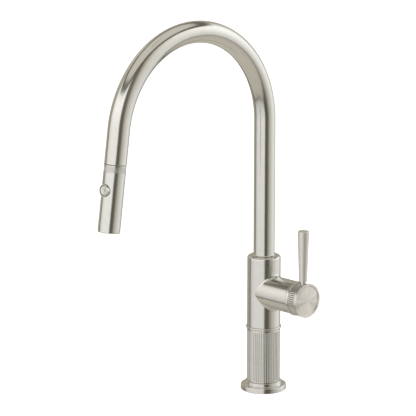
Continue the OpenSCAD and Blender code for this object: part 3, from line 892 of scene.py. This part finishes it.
def fillet_grid(turns):
    """The fillet between the column and the boss, and the line where it meets the boss."""
    ball = boss_ball(turns)
    column_share, boss_share = BODY_R / (BODY_R + FILLET), BOSS_R / (BOSS_R + FILLET)
    on_column = ball * [column_share, column_share, 1]
    on_boss = BOSS_ORIGIN + (ball - BOSS_ORIGIN) * [1, boss_share, boss_share]
    first, last = (on_column - ball) / FILLET, (on_boss - ball) / FILLET
    opening = np.arccos(np.clip((first * last).sum(1), -1, 1))
    share = np.linspace(0, 1, 13)[:, None]
    turned = np.sin((1 - share) * opening)[..., None] * first + np.sin(share * opening)[..., None] * last
    turned /= np.sin(opening)[:, None]
    uv = np.stack(np.broadcast_arrays(turns[None] * BOSS_R, FILLET * share), -1)
    return (ball + FILLET * turned, -turned, uv), on_boss


def boss_grids(turns):
    """The boss from its fillet to its mouth, and the chamber inside it."""
    fillet, on_boss = fillet_grid(turns)
    rim, chamber_r, chamber_x = BOSS_END - 1, 15.2, 14
    share = np.linspace(0, 1, 7)[:, None]
    distance = on_boss[None, :, 0] + share * (rim - on_boss[None, :, 0])
    radial = np.stack([0 * turns, np.sin(turns), np.cos(turns)], -1)
    points = BOSS_ORIGIN + distance[..., None] * X + BOSS_R * radial
    uv = np.stack([turns * BOSS_R + 0 * distance, distance], -1)
    mouth = rounded([(BOSS_R, rim), (BOSS_R, BOSS_END, 0.6), (chamber_r, BOSS_END, 0.3),
                     (chamber_r, chamber_x), (0, chamber_x)], closed=False)
    return [fillet, (points, np.broadcast_to(radial, points.shape), uv),
            swept(mouth, BOSS, math.pi - turns, closed=False)]


def back_grids(top):
    """The upper part of the column's wall, with a blind hole for the grub screw at the back."""
    grub_z, grub_r, grub_floor = BODY_TOP - 12, 2.05, 12.75

    def edge(turn):
        return QUARTER_TURN + np.arcsin(grub_r * np.sin(turn) / BODY_R), grub_z + grub_r * np.cos(turn)
    upper = holed_wall(UPRIGHT, BODY_R, QUARTER_TURN, SPLIT_Z, top, edge, side_columns=16)
    floor = upper[0][0].copy()
    floor[:, 1] = grub_floor
    middle = np.array([0, grub_floor, grub_z])
    return [upper, ruled(upper[0][0], floor, (middle - floor) / grub_r),
            ruled(floor, np.broadcast_to(middle, floor.shape), Y)]


def valve_body():
    """The column with its boss on one side and the grub screw's hole at the back."""
    side_columns = 64
    bottom, top = BODY_LOW + 1, BODY_TOP - 3
    turns, _, _ = wall_border(0, bottom, SPLIT_Z, side_columns)
    wall = holed_wall(UPRIGHT, BODY_R, 0, bottom, SPLIT_Z, boss_edge, side_columns, rows=24)
    bearing_bore, bearing_floor = 14, BODY_TOP - 7.5
    socket_bore, socket_floor = 12.7, BODY_TOP - 22
    hose_bore, shank_bore = 7.6, SHANK_R + FIT_GAP
    inside = rounded([(BODY_R, top), (BODY_R, BODY_TOP, 2.6), (bearing_bore, BODY_TOP, 0.3),
                      (bearing_bore, bearing_floor), (socket_bore, bearing_floor),
                      (socket_bore, socket_floor), (hose_bore, socket_floor), (hose_bore, SHANK_TOP),
                      (shank_bore, SHANK_TOP), (shank_bore, BODY_LOW), (BODY_R, BODY_LOW, 0.2),
                      (BODY_R, bottom)], closed=False)
    piece("body_cast", "valve_body", [wall, *boss_grids(turns), *back_grids(top),
                                      swept(inside, UPRIGHT, closed=False)])


# ---------------------------------------------------------------- spout

def spout_tube():
    """The bent tube, with rings all along its bend."""
    rings = list(np.linspace(SPOUT_RISE, SPOUT_RISE + ARCH_R * SWEEP, 121))
    rows = rounded([(BORE_R, 0), (TUBE_R, 0, 0.1), (TUBE_R, SPOUT_LEN, 0.45), (BORE_R, SPOUT_LEN, 0.2)])
    piece("spout_bent", "spout_tube", [swept(with_rings(rows, rings), gooseneck)])


def spout_collar():
    """The small collar that flares where the spout leaves the body."""
    bore, edge = TUBE_R + FIT_GAP, high("spout_collar", 0)
    start, top = low("spout_collar", 2), high("spout_collar", 2)
    rows = rounded([(bore, start), (edge, start, 0.1), (edge, start + 0.35, 0.1),
                    (bore + 0.12, start + 0.42, 1.6), (bore + 0.1, top), (bore, top)])
    piece("collar_turned", "spout_collar", [swept(rows, UPRIGHT)])


# ---------------------------------------------------------------- spray head

def hole_in(radius):
    """The edge of the button's hole in a wall of the given radius round the tip."""
    hole = BEZEL_R + 0.4

    def edge(turn):
        return QUARTER_TURN + np.arcsin(hole * np.sin(turn) / radius), BUTTON_AT + hole * np.cos(turn)
    return edge


def head_shell():
    """The head's wall outside and inside, the button's hole through it, and its two ends."""
    inner, lip, seat, side_columns = 10.2, 9.2, TUBE_R - 0.8, 48
    ring_end = RING_START + RING_LEN
    outer_low, outer_high, inner_low = ring_end + 1, HEAD_END - 2, HEAD_START + 1.5
    outside = holed_wall(TIP, TUBE_R, QUARTER_TURN, outer_low, outer_high, hole_in(TUBE_R), side_columns)
    inside = holed_wall(TIP, inner, QUARTER_TURN, inner_low, outer_high, hole_in(inner), side_columns,
                        sign=-1)
    offset = outside[0][0] - BUTTON_ORIGIN
    offset = offset - (offset @ FRONT)[:, None] * FRONT
    hole = ruled(outside[0][0], inside[0][0], -offset / np.linalg.norm(offset, axis=1)[:, None])
    upper = rounded([(inner, inner_low), (lip, inner_low), (lip, HEAD_START, 0.2), (TUBE_R, HEAD_START, 0.4),
                     (TUBE_R, RING_START, 0.12), (seat, RING_START), (seat, ring_end),
                     (TUBE_R, ring_end, 0.12), (TUBE_R, outer_low)], closed=False)
    lower = rounded([(TUBE_R, outer_high), (TUBE_R, HEAD_END, 1.0), (inner, HEAD_END, 0.25),
                     (inner, outer_high)], closed=False)
    ends = [swept(rows, TIP, closed=False) for rows in (upper, lower)]
    piece("head_turned", "head_shell", [outside, inside, hole, *ends])


def head_reeded_ring():
    """The fine reeded ring near the head's upper end."""
    gap = 0.03
    ring = reeded(TIP, TUBE_R - 0.78, TUBE_R - 0.15, RING_START + gap, RING_START + RING_LEN - gap, count=60,
                  depth=0.3, margins=(0.3, 0.3), width=0.3)
    piece("head_ring_reeded", "head_reeded_ring", ring, finish="nickel_crease_shaded")


def button_bezel():
    """The ring round the button."""
    bore = 5.5
    rows = rounded([(bore, BEZEL_FLOOR), (BEZEL_R, BEZEL_FLOOR), (BEZEL_R, BEZEL_TOP, 0.35),
                    (bore, BEZEL_TOP, 0.35)])
    piece("bezel_turned", "button_bezel", [swept(rows, BUTTON)], finish="nickel_dark_crease_shaded")


def spray_button():
    """The button, with a shallow dish in its face."""
    edge, dish = 5.2, 3.6
    rows = rounded([(0, BUTTON_BACK), (edge, BUTTON_BACK, 0.2), (edge, BUTTON_TOP, 0.6),
                    (dish, BUTTON_TOP - 0.02, 2.0), (0, BUTTON_TOP - 0.35)])
    piece("button_domed", "spray_button", [swept(rows, BUTTON)])


def button_spring():
    """A coil behind the button, between the bezel's floor and the button's back."""
    turns, wire, middle = 4.25, 0.42, 2.65
    start, end = BEZEL_FLOOR + wire, BUTTON_BACK - wire

    def coil(around, along):
        angle = along * turns * 2 * math.pi
        out = np.cos(angle)[..., None] * X + np.sin(angle)[..., None] * np.cross(FRONT, X)
        centre = BUTTON_ORIGIN + (start + (end - start) * along)[..., None] * FRONT
        centre = centre + (middle + wire * np.cos(around))[..., None] * out
        return centre + wire * np.sin(around)[..., None] * FRONT

    def from_wire(points):
        return points - points[:, :-1].mean(1, keepdims=True)
    tube = surface(coil, full_turn(12), np.linspace(0, 1, 161), from_wire)
    caps = [ruled(tube[0][k], np.broadcast_to(tube[0][k][:-1].mean(0), tube[0][k].shape), outward)
            for k, outward in ((0, np.cross(X, FRONT)), (-1, np.cross(FRONT, X)))]
    spring = piece("spring_coiled", "button_spring", [tube, *caps], ride=False)
    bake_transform(spring)


def spray_nozzles():
    """A ring of soft nozzles that stand out of the spray face."""
    count, ring_r, bore, root_r, tip_r = 12, 7.4, 0.35, 0.88, 0.62
    rows = rounded([(bore, FACE_START), (root_r, FACE_START), (root_r, HEAD_END - 1, 0.2),
                    (tip_r, HEAD_END, 0.12), (bore, HEAD_END)])
    grids = []
    for k in range(count):
        a = math.radians(360 / count * k)
        origin = TIP_START + ring_r * (math.cos(a) * X + math.sin(a) * FRONT)
        grids.append(swept(rows, line(origin, TIP_AXIS, X), full_turn(24)))
    piece("nozzles_moulded", "spray_nozzles", grids)


def pull_hose():
    """The hose in the tip, with rings along it. It rides on no body."""
    rows = rounded([(0, 0), (HOSE_R, 0, 0.1), (HOSE_R, HOSE_LEN, 0.1), (0, HOSE_LEN)])
    rows = with_rings(rows, list(np.linspace(0.5, HOSE_LEN - 0.5, 60)))
    hose = piece("hose_braided", "pull_hose_lower", [swept(rows, TIP, full_turn(48))], ride=False)
    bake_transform(hose)


def hose_ferrule():
    """The ferrule, with three crimped grooves round it."""
    start, end, radius, bore = HOSE_LEN - 2, HOSE_LEN + 8, 7.2, HOSE_R + FIT_GAP
    groove_r = radius - 0.35
    crimps = [(radius, start, 0.4)]
    for k in range(3):
        at = start + 2.2 + 2.4 * k
        crimps += [(radius, at, 0.2), (groove_r, at + 0.4, 0.2), (groove_r, at + 0.8, 0.2),
                   (radius, at + 1.2, 0.2)]
    rows = rounded([(bore, start), *crimps, (radius, end, 0.3), (0, end), (0, HOSE_LEN), (bore, HOSE_LEN)])
    piece("ferrule_crimped", "hose_ferrule", [swept(rows, TIP)])


# ---------------------------------------------------------------- handle

def bonnet_dome():
    """A shell about the pivot, so that the handle clears it as it tilts."""
    outer, inner = 21.7, 20.5
    rows = joined(arc(PIVOT[0], outer, 31.7, 53.2) + arc(PIVOT[0], inner, 50.6, 33.8, hollow=True))
    piece("dome_pressed", "bonnet_dome", [swept(rows, BOSS)])


def handle_bead_ring():
    """The bead ring, hollow to a sphere about the pivot, so that it clears the dome."""
    sphere, bore, edge, proud, slope = 22.1, 18.8, 19.0, 19.6, 0.9
    start, end = BOSS_END + OPEN_GAP, HUB_X
    first = math.degrees(math.asin((end - PIVOT[0]) / sphere))
    last = math.degrees(math.asin((start - PIVOT[0]) / sphere))
    outside = rounded([(bore, start), (edge, start, 0.15), (proud, start + slope, 0.8),
                       (proud, end - slope, 0.8), (edge, end, 0.15), (bore, end)], closed=False)
    rows = joined(outside + arc(PIVOT[0], sphere, first, last, hollow=True))
    piece("handle_bead_turned", "handle_bead_ring", [swept(rows, BOSS)], finish="nickel_dark_crease_shaded")


def handle_reeded_ring():
    """The reeded ring between the bead ring and the cap."""
    hub_r, ring_r, gap = 17.5, 18.7, 0.1
    ring = reeded(BOSS, hub_r + FIT_GAP, ring_r, HUB_X + gap, CAP_X - gap, count=50, depth=0.85,
                  margins=(0.5, 1.5), width=0.5)
    piece("handle_ring_reeded", "handle_reeded_ring", ring, finish="nickel_dark_crease_shaded")


def handle_cap():
    """The cap: a spigot into the hub, and a face with a raised rim, a groove and a slight dome."""
    spigot = [(12, CAP_X), (12, CAP_X - CAP_SPIGOT), (13.9, CAP_X - CAP_SPIGOT), (13.9, CAP_X)]
    rim_top, groove_floor = CAP_END - 0.1, CAP_END - 1.3
    rim = [(CAP_R, CAP_X, 0.4), (CAP_R, rim_top, 0.3), (CAP_R - 2.1, rim_top, 0.25)]
    groove = [(CAP_R - 2.4, groove_floor, 0.2), (CAP_R - 3.2, groove_floor, 0.2)]
    dome = [(CAP_R - 3.5, CAP_END - 0.6, 0.3), (9, CAP_END - 0.2, 3.0), (4, CAP_END - 0.04, 2.0)]
    rows = rounded([(0, CAP_X), *spigot, *rim, *groove, *dome, (0, CAP_END)])
    piece("handle_cap_spun", "handle_cap", [swept(rows, BOSS)], finish="nickel_spun_painted_fan")


def lever_stud():
    """The stud that shows as a neck between the handle's ring and the lever."""
    foot, neck = 2.5, 2.8
    start, end = BOSS_Z + 13.1, LEVER_LOW + LEVER_SOCKET
    neck_low = start + 4.4
    rows = rounded([(0, start), (foot, start), (foot, neck_low), (neck, neck_low), (neck, LEVER_LOW),
                    (foot, LEVER_LOW), (foot, end), (0, end)])
    piece("stud_turned", "lever_stud", [swept(rows, LEVER)])


def lever_arm():
    """The lever, thicker towards its top, with a socket for the stud."""
    bore, low_r, top_r = 2.5 + FIT_GAP, 4.5, high("lever_arm", 1)
    socket_end = LEVER_LOW + LEVER_SOCKET + 0.2
    rows = rounded([(bore, LEVER_LOW), (low_r, LEVER_LOW, 0.5), (top_r, LEVER_TOP, 1.1), (0, LEVER_TOP),
                    (0, socket_end), (bore, socket_end)])
    piece("lever_turned", "lever_arm", [swept(rows, LEVER)], finish="nickel_lengthwise")


base_flange()
reeded_sleeve()
joint_bead()
valve_body()
mounting_shank()
six_sided("nut_six_sided", "mounting_nut", SHANK_R + FIT_GAP, 50)
six_sided("tail_fitting_six_sided", "hose_tail_fitting", 3, 13.2)
washer("rubber_washer_moulded", "rubber_washer", 0.6)
washer("steel_washer_pressed", "steel_washer", 0.3)
water_tube("hot_tube_drawn", "hot_inlet_tube")
water_tube("cold_tube_drawn", "cold_inlet_tube")
water_tube("outlet_tube_drawn", "outlet_tube")
spout_tube()
spout_collar()
head_shell()
head_reeded_ring()
button_bezel()
spray_button()
button_spring()
spray_nozzles()
pull_hose()
hose_ferrule()
handle_bead_ring()
handle_reeded_ring()
handle_cap()
bonnet_dome()
lever_stud()
lever_arm()

# CAD nodes that keep their shape get their slot's material
for node, obj in frame["nodes"].items():
    if not obj.hide_render:
        obj.data.materials.clear()
        obj.data.materials.append(MATERIALS[SLOT_OF[node]])
